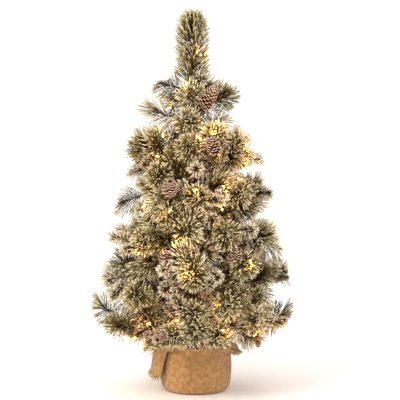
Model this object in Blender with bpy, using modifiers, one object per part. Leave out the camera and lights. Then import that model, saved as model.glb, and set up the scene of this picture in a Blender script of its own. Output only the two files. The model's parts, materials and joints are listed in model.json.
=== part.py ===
"""Artificial tabletop pine, 914 mm tall, in a burlap-wrapped weighted base.

Each branch is a wire stem on a bend at the pole, with a needle-covered spray
of side twigs around it.  Units are metres, +Z is up, the front is -Y and the
origin is on the floor under the pole.
"""

import math
import random

import bmesh
import bpy
import numpy as np
from mathutils import Matrix, Vector

GAP = 0.0003

# pole and base
POLE_R = 0.0075
POLE_BOTTOM = 0.024
POLE_TOP = 0.600
BALLAST_TOP = 0.0850
BALLAST_R = 0.0738
TUB_TOP = 0.0920
TUB_R = 0.0765

# branch wires
WIRE_R = 0.0021
KNUCKLE_R = 0.0030
ROOT_R = POLE_R + GAP + KNUCKLE_R
CHANNEL_R = 0.0030
CURL = 0.012

# the needle-dense core of a twig: radius where it leaves the stem, at its fullest and at its tip
CORE_R = (0.0080, 0.0150, 0.0085)
CORE_CLEAR = 0.0322
TIP_MARGIN = 0.008

# (height, outer radius of the foliage)
ENVELOPE = (
    (0.090, 0.150),
    (0.120, 0.190),
    (0.150, 0.222),
    (0.190, 0.240),
    (0.270, 0.236),
    (0.400, 0.214),
    (0.510, 0.190),
    (0.570, 0.168),
    (0.670, 0.142),
    (0.730, 0.106),
    (0.780, 0.062),
    (0.880, 0.044),
    (0.914, 0.020),
)

# root height, azimuths in degrees, elevation, reach of the wire, side twigs
TIERS = (
    ("a", 0.170, (54, 126, 198, 270, 342), -3.0, 0.202, 6),
    ("b", 0.238, (9, 99, 189, 279), 8.0, 0.196, 6),
    ("c", 0.316, (63, 153, 243, 333), 16.0, 0.174, 6),
    ("d", 0.406, (20, 140, 260), 27.0, 0.146, 7),
    ("e", 0.494, (80, 200, 320), 37.0, 0.116, 7),
)
LEADER_LEAN = -0.010
LEADER_TIP = 0.888
LEADER_TWIGS = 8
CANDIDATES = 90
SAMPLES = np.linspace(0.0, 1.0, 7)


def envelope(z):
    """Outer radius of the foliage at a height."""
    heights, radii = zip(*ENVELOPE)
    return float(np.interp(z, heights, radii))


def along(points, share):
    """The point at a share of an evenly divided path."""
    at = share * (len(points) - 1)
    k = min(int(at), len(points) - 2)
    return points[k].lerp(points[k + 1], at - k)


def stem_path(azimuth, height, elevation, reach):
    """Points of a branch wire, from its knuckle at the pole to its end."""
    out = Vector((math.cos(azimuth), math.sin(azimuth), 0.0))
    slope = math.tan(math.radians(elevation))
    path = []
    for k in range(5):
        share = k / 4
        run = share * (reach - ROOT_R)
        rise = slope * run + CURL * share * share
        path.append(out * (ROOT_R + run) + Vector((0.0, 0.0, height + rise)))
    return path


def distance(start, end, others):
    """Least distance from one segment to each of the others, read at sample points."""
    if not others:
        return np.array([1.0])
    one = np.outer(1 - SAMPLES, start) + np.outer(SAMPLES, end)
    firsts = np.array([list(a) for a, _ in others])
    lasts = np.array([list(b) for _, b in others])
    share = SAMPLES[None, :, None]
    many = firsts[:, None, :] * (1 - share) + lasts[:, None, :] * share
    apart = many[:, :, None, :] - one[None, None, :, :]
    return np.sqrt((apart**2).sum(-1)).min(axis=(1, 2))


def allowed(start, end):
    """Whether a twig stays inside the foliage's outline and clear of the base."""
    radius = math.hypot(end.x, end.y)
    if radius > envelope(end.z) - TIP_MARGIN:
        return False
    for share in (0.35, 0.7, 1.0):
        at = start.lerp(end, share)
        radius = math.hypot(at.x, at.y)
        if radius < 0.128 and at.z < 0.143:
            return False
        if at.z < 0.118:
            return False
        if abs(at.x) < 0.050 and -0.005 < at.y < 0.066 and at.z < 0.180:
            return False
    return True


def choose_twig(rng, base, heading, length, foreign, own):
    """The side twig, out of many directions, that best fills the free space."""
    up = Vector((0.0, 0.0, 1.0))
    side = heading.cross(up).normalized()
    lift = side.cross(heading).normalized()
    best, chosen = -9.0, None
    for _ in range(CANDIDATES):
        yaw = math.radians(rng.uniform(28.0, 80.0)) * rng.choice((-1.0, 1.0))
        pitch = math.radians(rng.uniform(-42.0, 62.0))
        flat = heading * math.cos(yaw) + side * math.sin(yaw)
        way = flat * math.cos(pitch) + lift * math.sin(pitch)
        end = base + way * length * rng.uniform(0.82, 1.08)
        if not allowed(base, end):
            continue
        begin = base.lerp(end, 0.12)
        clear = float(distance(begin, end, foreign).min())
        apart = float(distance(base.lerp(end, 0.62), end, own).min())
        if clear < CORE_CLEAR or apart < 0.020:
            continue
        short = envelope(end.z) - TIP_MARGIN - math.hypot(end.x, end.y)
        score = min(clear, 0.062) + 0.8 * min(apart, 0.052) - 0.16 * short
        if score > best:
            best, chosen = score, end
    return chosen


def tree_layout():
    """Every branch as (name, azimuth, wire path, twigs as (start, end))."""
    rng = random.Random(11)
    trunk = (Vector((0.0, 0.0, 0.10)), Vector((0.0, 0.0, POLE_TOP + 0.02)))
    branches, first = [], {}
    for tier, height, azimuths, elevation, reach, count in TIERS:
        for number, degrees in enumerate(azimuths, 1):
            azimuth = math.radians(degrees)
            path = stem_path(azimuth, height, elevation, reach)
            tip = path[-1] + (path[-1] - path[-2]).normalized() * 0.026
            name = f"branch_{tier}{number}"
            first[name] = [(along(path, 0.22), tip)]
            branches.append((name, azimuth, path, count))
    base = Vector((0.0, 0.0, POLE_TOP + GAP + KNUCKLE_R))
    top = Vector((LEADER_LEAN, 0.0, LEADER_TIP))
    path = [base.lerp(top, k / 4) for k in range(5)]
    first["leader"] = [(along(path, 0.05), Vector((1.08 * LEADER_LEAN, 0.0, 0.9115)))]
    branches.append(("leader", math.radians(270), path, LEADER_TWIGS))
    for turn in range(max(b[3] for b in branches)):
        for name, azimuth, path, count in branches:
            if turn >= count:
                continue
            foreign = [trunk] if name != "leader" else []
            for other in first:
                if other != name:
                    foreign += first[other]
            share = 0.96 - 0.64 * (turn + 0.5) / count
            length = 0.092
            heading = (path[-1] - path[0]).normalized()
            if name == "leader":
                share = 0.04 + 0.46 * (turn + 0.5) / count
                length = 0.110 - 0.075 * share
                spin = turn * 2.399
                heading = Vector((math.cos(spin), math.sin(spin), 1.1)).normalized()
            at = along(path, share)
            end = choose_twig(rng, at, heading, length, foreign, first[name])
            if end is not None:
                first[name].append((at, end))
    return [(name, azimuth, path, first[name]) for name, azimuth, path, _ in branches]


def clear_scene():
    """Remove whatever the file opens with."""
    for thing in list(bpy.data.objects):
        bpy.data.objects.remove(thing, do_unlink=True)


def collection(name):
    """A collection under the scene's own."""
    made = bpy.data.collections.new(name)
    bpy.context.scene.collection.children.link(made)
    return made


def material(name, colour, roughness, metallic=0.0):
    """A plain Principled material."""
    made = bpy.data.materials.new(name)
    made.use_nodes = True
    shader = made.node_tree.nodes["Principled BSDF"]
    shader.inputs["Base Color"].default_value = (*colour, 1.0)
    shader.inputs["Roughness"].default_value = roughness
    shader.inputs["Metallic"].default_value = metallic
    return made


def moved_to(thing, home):
    """Put an object in one collection only."""
    for old in list(thing.users_collection):
        old.objects.unlink(thing)
    home.objects.link(thing)
    return thing


def give(thing, name, mat, home):
    """Name an object, give it its material and file it."""
    thing.name = name
    thing.data.name = name
    thing.data.materials.clear()
    thing.data.materials.append(mat)
    return moved_to(thing, home)


def tube_mesh(points, radii, resolution=2):
    """A welded mesh object of a round bar along points, with a radius at each."""
    curve = bpy.data.curves.new("bar", "CURVE")
    curve.dimensions = "3D"
    curve.bevel_depth = 1.0
    curve.bevel_resolution = resolution
    curve.use_fill_caps = True
    spline = curve.splines.new("POLY")
    spline.points.add(len(points) - 1)
    for point, at, radius in zip(spline.points, points, radii):
        point.co = (*at, 1.0)
        point.radius = radius
    holder = bpy.data.objects.new("bar", curve)
    bpy.context.scene.collection.objects.link(holder)
    depsgraph = bpy.context.evaluated_depsgraph_get()
    mesh = bpy.data.meshes.new_from_object(holder.evaluated_get(depsgraph))
    bpy.data.objects.remove(holder, do_unlink=True)
    bm = bmesh.new()
    bm.from_mesh(mesh)
    bmesh.ops.remove_doubles(bm, verts=bm.verts, dist=1e-6)
    bmesh.ops.recalc_face_normals(bm, faces=bm.faces)
    bm.to_mesh(mesh)
    bm.free()
    made = bpy.data.objects.new("bar", mesh)
    bpy.context.scene.collection.objects.link(made)
    return made


def combined(base, others, operation):
    """The base joined with, or cut by, each of the others, as one plain mesh."""
    for other in others:
        step = base.modifiers.new(operation.lower(), "BOOLEAN")
        step.operation = operation
        step.solver = "EXACT"
        step.object = other
    bpy.context.view_layer.update()
    depsgraph = bpy.context.evaluated_depsgraph_get()
    mesh = bpy.data.meshes.new_from_object(base.evaluated_get(depsgraph))
    base.modifiers.clear()
    base.data = mesh
    for other in others:
        bpy.data.objects.remove(other, do_unlink=True)
    bm = bmesh.new()
    bm.from_mesh(mesh)
    bmesh.ops.remove_doubles(bm, verts=bm.verts, dist=2e-5)
    bmesh.ops.dissolve_degenerate(bm, edges=bm.edges, dist=2e-5)
    bmesh.ops.triangulate(bm, faces=bm.faces)
    bm.to_mesh(mesh)
    bm.free()
    return base


def turned(profile, steps, thickness=0.0, closed=True):
    """A profile of (radius, height) swept round Z with a Screw modifier."""
    mesh = bpy.data.meshes.new("profile")
    made = bpy.data.objects.new("profile", mesh)
    bpy.context.scene.collection.objects.link(made)
    bm = bmesh.new()
    verts = [bm.verts.new((radius, 0.0, height)) for radius, height in profile]
    pairs = list(zip(verts, verts[1:]))
    if closed:
        pairs.append((verts[-1], verts[0]))
    for pair in pairs:
        bm.edges.new(pair)
    bm.to_mesh(mesh)
    bm.free()
    screw = made.modifiers.new("turn", "SCREW")
    screw.steps = steps
    screw.render_steps = steps
    screw.use_merge_vertices = True
    screw.merge_threshold = 0.00005
    screw.use_normal_calculate = True
    if thickness:
        shell = made.modifiers.new("wall", "SOLIDIFY")
        shell.thickness = thickness
        shell.offset = 0.0
    made = combined(made, [], "UNION")
    bm = bmesh.new()
    bm.from_mesh(made.data)
    bmesh.ops.recalc_face_normals(bm, faces=bm.faces)
    bm.to_mesh(made.data)
    bm.free()
    return made


def box(low, high):
    """A box between two corners."""
    middle = (Vector(low) + Vector(high)) / 2
    bpy.ops.mesh.primitive_cube_add(size=1.0, location=middle)
    made = bpy.context.active_object
    made.scale = Vector(high) - Vector(low)
    bpy.ops.object.transform_apply(location=False, rotation=False, scale=True)
    return made


def cylinder(radius, low, high, x=0.0, y=0.0, sides=24):
    """An upright cylinder between two heights."""
    bpy.ops.mesh.primitive_cylinder_add(
        vertices=sides, radius=radius, depth=high - low, location=(x, y, (low + high) / 2)
    )
    return bpy.context.active_object


def core(start, end):
    """The needle-dense core round one twig."""
    shares = (0.0, 0.45, 0.85, 1.0)
    bottom, full, tip = CORE_R
    radii = (bottom, full, 0.87 * full, 0.55 * tip)
    return tube_mesh([start.lerp(end, s) for s in shares], radii, 1)


def centre_on(thing, point):
    """Set an object's origin without moving its mesh."""
    shift = Matrix.Translation(-Vector(point)) @ thing.matrix_world
    thing.data.transform(shift)
    thing.matrix_world = Matrix.Translation(Vector(point))


def make_branch(name, path, twigs, mats, home):
    """One branch: its wire with a knuckle, and the spray round it."""
    wire = tube_mesh(path, [WIRE_R] * len(path))
    bpy.ops.mesh.primitive_uv_sphere_add(
        segments=8, ring_count=6, radius=KNUCKLE_R, location=path[0]
    )
    wire = combined(wire, [bpy.context.active_object], "UNION")
    give(wire, f"{name}_stem", mats["wire"], home)
    (first, last), rest = twigs[0], twigs[1:]
    shares = (0.0, 0.3, 0.6, 0.9, 1.0)
    radii = (0.0080, 0.0125, 0.0150, 0.0115, 0.0050)
    spray = tube_mesh([first.lerp(last, s) for s in shares], radii, 1)
    spray = combined(spray, [core(a, b) for a, b in rest], "UNION")
    reach = path[-1] + (path[-1] - path[-2]).normalized() * 0.0006
    channel = tube_mesh([*path[:-1], reach], [CHANNEL_R] * len(path))
    spray = combined(spray, [channel], "DIFFERENCE")
    give(spray, f"{name}_spray", mats["needles"], home)
    centre_on(wire, path[0])
    centre_on(spray, path[0])


# cones: name, the body that carries it, centre, direction of the tip, length, greatest radius
CONES = (
    ("cone_1", "leader", (0.030, -0.075, 0.700), (0.55, -0.35, 0.76), 0.072, 0.0190),
    ("cone_2", "branch_e3", (0.040, -0.161, 0.588), (-0.30, -0.50, 0.81), 0.050, 0.0165),
    ("cone_3", "branch_d3", (-0.058, -0.188, 0.492), (0.10, -0.75, 0.65), 0.044, 0.0180),
    ("cone_4", "branch_c3", (-0.066, -0.163, 0.338), (0.20, -0.70, 0.68), 0.044, 0.0175),
    ("cone_5", "branch_c4", (0.091, -0.160, 0.336), (0.35, -0.60, 0.72), 0.046, 0.0170),
    ("cone_6", "branch_b4", (0.108, -0.151, 0.250), (0.60, -0.60, -0.53), 0.048, 0.0170),
    ("cone_7", "branch_a4", (-0.078, -0.190, 0.160), (-0.30, -0.90, -0.32), 0.044, 0.0170),
    ("cone_8", "branch_a4", (0.004, -0.184, 0.138), (1.00, -0.20, -0.10), 0.050, 0.0150),
)
CONE_PROFILE = ((0.0, 0.0), (0.62, 0.08), (0.96, 0.28), (0.92, 0.50), (0.62, 0.78), (0.25, 0.96), (0.0, 1.0))


def make_cone(name, centre, way, length, radius, mat, home):
    """A pine cone's plain outer form, turned round its own axis."""
    profile = [(radius * r, length * (z - 0.5)) for r, z in CONE_PROFILE]
    made = turned(profile, 10, closed=False)
    made.location = centre
    made.rotation_mode = "QUATERNION"
    made.rotation_quaternion = Vector(way).normalized().to_track_quat("Z", "Y")
    give(made, name, mat, home)


def make_base(mats, home):
    """Pole, tub, ballast and burlap bag."""
    tube = (
        (POLE_R, POLE_BOTTOM),
        (POLE_R, POLE_TOP),
        (POLE_R - 0.0012, POLE_TOP),
        (POLE_R - 0.0012, POLE_BOTTOM),
    )
    give(turned(tube, 20), "trunk_pole", mats["pole"], home)
    tub = (
        (0.0, 0.0026),
        (0.0725, 0.0026),
        (0.0745, 0.0060),
        (TUB_R, TUB_TOP - 0.004),
        (TUB_R + 0.0024, TUB_TOP - 0.004),
        (TUB_R + 0.0024, TUB_TOP),
        (TUB_R - 0.0020, TUB_TOP),
        (0.0727, 0.0085),
        (0.0712, 0.0050),
        (0.0, 0.0050),
    )
    give(turned(tub, 40, closed=False), "base_tub", mats["tub"], home)
    ballast = (
        (0.0, 0.0054),
        (0.0690, 0.0054),
        (0.0718, 0.0090),
        (BALLAST_R, BALLAST_TOP - 0.003),
        (BALLAST_R - 0.003, BALLAST_TOP),
        (POLE_R + GAP, BALLAST_TOP),
        (POLE_R + GAP, POLE_BOTTOM - GAP),
        (0.0, POLE_BOTTOM - GAP),
    )
    give(turned(ballast, 40, closed=False), "ballast", mats["ballast"], home)
    bag = (
        (0.0, 0.0008),
        (0.0740, 0.0008),
        (0.0810, 0.0040),
        (0.0848, 0.0140),
        (0.0862, 0.0300),
        (0.0868, 0.0550),
        (0.0860, 0.0800),
        (0.0838, 0.1000),
        (0.0826, 0.1120),
        (0.0836, 0.1175),
        (0.0880, 0.1200),
        (0.0926, 0.1175),
        (0.0955, 0.1080),
        (0.0972, 0.0940),
        (0.0985, 0.0800),
        (0.1000, 0.0700),
    )
    give(turned(bag, 36, 0.0016, closed=False), "burlap_bag", mats["burlap"], home)


# battery case, standing on the ballast behind the pole
CASE_LOW = (-0.0300, 0.0180, BALLAST_TOP + GAP)
CASE_HIGH = (0.0300, 0.0392, 0.1530)
WALL = 0.0018
CELL_R = 0.00715
CELL_PITCH = 0.0158
DOOR_TOP = 0.1445
DOOR_HALF = 0.0249


def make_case(mats, home):
    """Battery case with its sliding door, cells, timer board and switch."""
    lx, ly, lz = CASE_LOW
    hx, hy, hz = CASE_HIGH
    case = box(CASE_LOW, CASE_HIGH)
    inner = box((lx + WALL, ly + WALL, lz + WALL), (hx - WALL, hy - WALL, 0.1405))
    upper = box((lx + WALL, ly + WALL, 0.1420), (hx - WALL, hy - WALL, hz - WALL))
    mouth = box((-0.0234, hy - 0.0060, lz + 0.0060), (0.0234, hy + 0.001, 0.1372))
    for side in (-1, 1):
        rail = box((-0.0016, hy - 0.001, lz + 0.0005), (0.0016, hy + 0.0036, DOOR_TOP))
        rail.location.x = side * 0.0269
        lip = box((-0.0024, hy + 0.0024, lz + 0.0005), (0.0024, hy + 0.0036, DOOR_TOP))
        lip.location.x = side * 0.0261
        case = combined(case, [rail, lip], "UNION")
    slot = box((0.0120, 0.0262, 0.1500), (0.0240, 0.0310, 0.1560))
    outlet = cylinder(0.0016, 0.1500, 0.1560, 0.0, 0.0286, 12)
    case = combined(case, [inner, upper, mouth, slot, outlet], "DIFFERENCE")
    give(case, "battery_case", mats["case"], home)
    door = box((-DOOR_HALF, hy + GAP, lz + 0.0005), (DOOR_HALF, hy + 0.0020, DOOR_TOP))
    grips = [box((-0.010, hy + 0.0015, z), (0.010, hy + 0.0030, z + 0.0016)) for z in (0.126, 0.130, 0.134)]
    door = combined(door, grips, "UNION")
    give(door, "battery_door", mats["case"], home)
    for number, side in enumerate((-1, 0, 1), 1):
        y = ly + WALL + 0.0005 + CELL_R
        x = side * CELL_PITCH
        low = lz + WALL + 0.0010
        flip = number == 2
        can = (low + 0.0014, low + 0.0500) if flip else (low, low + 0.0486)
        nub = (low, low + 0.0016) if flip else (low + 0.0484, low + 0.0500)
        cell = cylinder(CELL_R, *can, x, y, 16)
        cap = cylinder(0.0027, *nub, x, y, 16)
        cell = combined(cell, [cap], "UNION")
        give(cell, f"battery_cell_{number}", mats["cell"], home)
    board = box((lx + 0.0030, ly + 0.0025, 0.1426), (hx - 0.0030, hy - 0.0025, 0.1442))
    give(board, "timer_board", mats["board"], home)
    knob = box((0.0150, 0.0266, 0.1470), (0.0190, 0.0306, 0.1565))
    foot = box((0.0125, 0.0240, 0.1466), (0.0215, 0.0332, 0.1506))
    knob = combined(knob, [foot], "UNION")
    give(knob, "power_switch", mats["case"], home)


def lead_points():
    """The lead from the case's outlet over to the pole and up beside it."""
    keys = (
        (0.0, 0.0286, 0.1505),
        (0.0, 0.0286, 0.1600),
        (0.0, 0.0255, 0.1690),
        (0.0, 0.0180, 0.1755),
        (0.0, 0.0115, 0.1840),
        (0.0, 0.0092, 0.1950),
        (0.0, 0.0091, 0.2050),
        (0.0, 0.0091, 0.2150),
    )
    keys = [Vector(k) for k in keys]
    path = []
    for k in range(len(keys) - 1):
        before = keys[max(k - 1, 0)]
        after = keys[min(k + 2, len(keys) - 1)]
        for part in range(3):
            t = part / 3
            a, b = keys[k], keys[k + 1]
            path.append(
                0.5
                * (
                    2 * a
                    + (b - before) * t
                    + (2 * before - 5 * a + 4 * b - after) * t * t
                    + (3 * a - before - 3 * b + after) * t**3
                )
            )
    path.append(keys[-1])
    return path


def make_tree():
    """Build every piece."""
    clear_scene()
    home = collection("tabletop_pine")
    mats = {
        "needles": material("needles", (0.300, 0.290, 0.190), 0.85),
        "wire": material("stem_wire", (0.055, 0.060, 0.025), 0.75),
        "pole": material("pole_wrap", (0.065, 0.050, 0.030), 0.85),
        "cone": material("cone_scales", (0.330, 0.160, 0.105), 0.70),
        "tub": material("tub_plastic", (0.030, 0.030, 0.030), 0.55),
        "ballast": material("cast_ballast", (0.480, 0.460, 0.430), 0.90),
        "burlap": material("burlap", (0.560, 0.350, 0.170), 0.95),
        "case": material("case_plastic", (0.020, 0.045, 0.022), 0.45),
        "cell": material("cell_jacket", (0.050, 0.050, 0.055), 0.30, 0.6),
        "board": material("board", (0.030, 0.160, 0.060), 0.50),
        "lead": material("lead_insulation", (0.015, 0.060, 0.025), 0.45),
    }
    make_base(mats, home)
    make_case(mats, home)
    path = lead_points()
    give(tube_mesh(path, [0.0012] * len(path)), "light_lead", mats["lead"], home)
    for name, _, path, twigs in tree_layout():
        make_branch(name, path, twigs, mats, home)
    for name, _, centre, way, length, radius in CONES:
        make_cone(name, centre, way, length, radius, mats["cone"], home)


make_tree()
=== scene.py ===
"""Looks for the tabletop pine: needles, cones, lamps, burlap, camera and light."""

import json
import math
import random

import bpy
import numpy as np
from mathutils import Matrix, Vector

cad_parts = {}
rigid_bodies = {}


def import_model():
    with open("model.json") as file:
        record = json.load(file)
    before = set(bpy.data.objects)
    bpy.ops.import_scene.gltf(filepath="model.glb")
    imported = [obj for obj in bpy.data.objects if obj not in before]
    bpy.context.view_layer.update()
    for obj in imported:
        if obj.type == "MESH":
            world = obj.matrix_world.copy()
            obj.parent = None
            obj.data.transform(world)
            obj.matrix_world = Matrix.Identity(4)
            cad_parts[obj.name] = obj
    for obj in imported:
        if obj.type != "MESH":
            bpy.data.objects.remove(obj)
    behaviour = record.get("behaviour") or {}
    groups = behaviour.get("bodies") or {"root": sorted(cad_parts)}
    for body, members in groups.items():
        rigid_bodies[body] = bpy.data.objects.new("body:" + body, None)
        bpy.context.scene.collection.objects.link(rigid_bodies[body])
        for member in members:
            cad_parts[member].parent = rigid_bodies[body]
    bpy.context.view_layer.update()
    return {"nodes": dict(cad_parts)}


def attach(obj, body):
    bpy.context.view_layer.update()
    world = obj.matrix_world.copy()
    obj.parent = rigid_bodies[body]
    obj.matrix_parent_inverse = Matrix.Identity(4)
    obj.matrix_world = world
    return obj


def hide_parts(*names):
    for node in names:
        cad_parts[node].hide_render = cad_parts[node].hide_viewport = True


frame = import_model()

# ---------------------------------------------------------------- where the twigs are
GAP = 0.0003
POLE_R = 0.0075
POLE_TOP = 0.600
KNUCKLE_R = 0.0030
ROOT_R = POLE_R + GAP + KNUCKLE_R
CURL = 0.012
CORE_CLEAR = 0.0322
TIP_MARGIN = 0.008
# (height, outer radius of the foliage); above CROWN there is only the leader
CROWN = 0.74
ENVELOPE = (
    (0.090, 0.150),
    (0.120, 0.190),
    (0.150, 0.222),
    (0.190, 0.240),
    (0.270, 0.236),
    (0.400, 0.214),
    (0.510, 0.190),
    (0.570, 0.168),
    (0.670, 0.142),
    (0.730, 0.106),
    (0.780, 0.062),
    (0.880, 0.044),
    (0.914, 0.020),
)
# the same round the leader, for the needles
SPIRE = (
    (0.740, 0.100),
    (0.775, 0.047),
    (0.810, 0.045),
    (0.850, 0.050),
    (0.885, 0.045),
    (0.905, 0.035),
    (0.922, 0.026),
)
OUTLINE = tuple(e for e in ENVELOPE if e[0] < CROWN) + SPIRE

# root height, azimuths in degrees, elevation, reach of the wire, side twigs
TIERS = (
    ("a", 0.170, (54, 126, 198, 270, 342), -3.0, 0.202, 6),
    ("b", 0.238, (9, 99, 189, 279), 8.0, 0.196, 6),
    ("c", 0.316, (63, 153, 243, 333), 16.0, 0.174, 6),
    ("d", 0.406, (20, 140, 260), 27.0, 0.146, 7),
    ("e", 0.494, (80, 200, 320), 37.0, 0.116, 7),
)
LEADER_LEAN = -0.010
LEADER_TIP = 0.888
LEADER_TWIGS = 8
CANDIDATES = 90
SAMPLES = np.linspace(0.0, 1.0, 7)


def envelope(z):
    """Outer radius of the foliage at a height."""
    heights, radii = zip(*ENVELOPE)
    return float(np.interp(z, heights, radii))


def along(points, share):
    """The point at a share of an evenly divided path."""
    at = share * (len(points) - 1)
    k = min(int(at), len(points) - 2)
    return points[k].lerp(points[k + 1], at - k)


def stem_path(azimuth, height, elevation, reach):
    """Points of a branch wire, from its knuckle at the pole to its end."""
    out = Vector((math.cos(azimuth), math.sin(azimuth), 0.0))
    slope = math.tan(math.radians(elevation))
    path = []
    for k in range(5):
        share = k / 4
        run = share * (reach - ROOT_R)
        rise = slope * run + CURL * share * share
        path.append(out * (ROOT_R + run) + Vector((0.0, 0.0, height + rise)))
    return path


def distance(start, end, others):
    """Least distance from one segment to each of the others, read at sample points."""
    if not others:
        return np.array([1.0])
    one = np.outer(1 - SAMPLES, start) + np.outer(SAMPLES, end)
    firsts = np.array([list(a) for a, _ in others])
    lasts = np.array([list(b) for _, b in others])
    share = SAMPLES[None, :, None]
    many = firsts[:, None, :] * (1 - share) + lasts[:, None, :] * share
    apart = many[:, :, None, :] - one[None, None, :, :]
    return np.sqrt((apart**2).sum(-1)).min(axis=(1, 2))


def allowed(start, end):
    """Whether a twig stays inside the foliage's outline and clear of the base."""
    radius = math.hypot(end.x, end.y)
    if radius > envelope(end.z) - TIP_MARGIN:
        return False
    for share in (0.35, 0.7, 1.0):
        at = start.lerp(end, share)
        radius = math.hypot(at.x, at.y)
        if radius < 0.128 and at.z < 0.143:
            return False
        if at.z < 0.118:
            return False
        if abs(at.x) < 0.050 and -0.005 < at.y < 0.066 and at.z < 0.180:
            return False
    return True


def choose_twig(rng, base, heading, length, foreign, own):
    """The side twig, out of many directions, that best fills the free space."""
    up = Vector((0.0, 0.0, 1.0))
    side = heading.cross(up).normalized()
    lift = side.cross(heading).normalized()
    best, chosen = -9.0, None
    for _ in range(CANDIDATES):
        yaw = math.radians(rng.uniform(28.0, 80.0)) * rng.choice((-1.0, 1.0))
        pitch = math.radians(rng.uniform(-42.0, 62.0))
        flat = heading * math.cos(yaw) + side * math.sin(yaw)
        way = flat * math.cos(pitch) + lift * math.sin(pitch)
        end = base + way * length * rng.uniform(0.82, 1.08)
        if not allowed(base, end):
            continue
        begin = base.lerp(end, 0.12)
        clear = float(distance(begin, end, foreign).min())
        apart = float(distance(base.lerp(end, 0.62), end, own).min())
        if clear < CORE_CLEAR or apart < 0.020:
            continue
        short = envelope(end.z) - TIP_MARGIN - math.hypot(end.x, end.y)
        score = min(clear, 0.062) + 0.8 * min(apart, 0.052) - 0.16 * short
        if score > best:
            best, chosen = score, end
    return chosen


def tree_layout():
    """Every branch as (name, azimuth, wire path, twigs as (start, end))."""
    rng = random.Random(11)
    trunk = (Vector((0.0, 0.0, 0.10)), Vector((0.0, 0.0, POLE_TOP + 0.02)))
    branches, first = [], {}
    for tier, height, azimuths, elevation, reach, count in TIERS:
        for number, degrees in enumerate(azimuths, 1):
            azimuth = math.radians(degrees)
            path = stem_path(azimuth, height, elevation, reach)
            tip = path[-1] + (path[-1] - path[-2]).normalized() * 0.026
            name = f"branch_{tier}{number}"
            first[name] = [(along(path, 0.22), tip)]
            branches.append((name, azimuth, path, count))
    base = Vector((0.0, 0.0, POLE_TOP + GAP + KNUCKLE_R))
    top = Vector((LEADER_LEAN, 0.0, LEADER_TIP))
    path = [base.lerp(top, k / 4) for k in range(5)]
    first["leader"] = [(along(path, 0.05), Vector((1.08 * LEADER_LEAN, 0.0, 0.9115)))]
    branches.append(("leader", math.radians(270), path, LEADER_TWIGS))
    for turn in range(max(b[3] for b in branches)):
        for name, azimuth, path, count in branches:
            if turn >= count:
                continue
            foreign = [trunk] if name != "leader" else []
            for other in first:
                if other != name:
                    foreign += first[other]
            share = 0.96 - 0.64 * (turn + 0.5) / count
            length = 0.092
            heading = (path[-1] - path[0]).normalized()
            if name == "leader":
                share = 0.04 + 0.46 * (turn + 0.5) / count
                length = 0.110 - 0.075 * share
                spin = turn * 2.399
                heading = Vector((math.cos(spin), math.sin(spin), 1.1)).normalized()
            at = along(path, share)
            end = choose_twig(rng, at, heading, length, foreign, first[name])
            if end is not None:
                first[name].append((at, end))
    return [(name, azimuth, path, first[name]) for name, azimuth, path, _ in branches]


# ---------------------------------------------------------------- materials
def new_material(name, roughness=0.8, metallic=0.0):
    """A node material: returns (material, tree, shader)."""
    made = bpy.data.materials.new(name)
    made.use_nodes = True
    tree = made.node_tree
    shader = tree.nodes["Principled BSDF"]
    shader.inputs["Roughness"].default_value = roughness
    shader.inputs["Metallic"].default_value = metallic
    return made, tree, shader


def node(tree, kind, **settings):
    """Add a node and set its properties."""
    made = tree.nodes.new(kind)
    for key, value in settings.items():
        setattr(made, key, value)
    return made


def attribute(tree, name):
    """The value of a named mesh attribute."""
    return node(tree, "ShaderNodeAttribute", attribute_name=name).outputs["Fac"]


def ramp(tree, value, stops):
    """A colour ramp over a value; stops are (position, colour)."""
    made = node(tree, "ShaderNodeValToRGB")
    bar = made.color_ramp
    while len(bar.elements) < len(stops):
        bar.elements.new(0.5)
    for element, (at, colour) in zip(bar.elements, stops):
        element.position = at
        element.color = (*colour, 1.0)
    tree.links.new(value, made.inputs["Fac"])
    return made.outputs["Color"]


def math_node(tree, operation, a, b):
    """A maths node on two sockets or numbers."""
    made = node(tree, "ShaderNodeMath", operation=operation)
    for socket, value in zip(made.inputs, (a, b)):
        if isinstance(value, (int, float)):
            socket.default_value = value
        else:
            tree.links.new(value, socket)
    return made.outputs[0]


def blend_colour(tree, factor, a, b, kind="MIX"):
    """Mix two colours, each a socket or a tuple."""
    made = node(tree, "ShaderNodeMix", data_type="RGBA", blend_type=kind)
    sockets = {s.identifier: s for s in made.inputs}
    for name, value in (("Factor_Float", factor), ("A_Color", a), ("B_Color", b)):
        if isinstance(value, tuple):
            sockets[name].default_value = (*value, 1.0)
        elif isinstance(value, (int, float)):
            sockets[name].default_value = value
        else:
            tree.links.new(value, sockets[name])
    return {s.identifier: s for s in made.outputs}["Result_Color"]


def noise(tree, scale, detail=4.0, vector=None):
    """A noise value in object space, or over a given vector."""
    made = node(tree, "ShaderNodeTexNoise")
    made.inputs["Scale"].default_value = scale
    made.inputs["Detail"].default_value = detail
    if vector is None:
        vector = node(tree, "ShaderNodeTexCoord").outputs["Object"]
    tree.links.new(vector, made.inputs["Vector"])
    return made.outputs["Fac"]


def bump(tree, shader, height, strength, distance):
    """Drive the shader's normal from a height."""
    made = node(tree, "ShaderNodeBump")
    made.inputs["Strength"].default_value = strength
    made.inputs["Distance"].default_value = distance
    tree.links.new(height, made.inputs["Height"])
    tree.links.new(made.outputs["Normal"], shader.inputs["Normal"])


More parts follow.
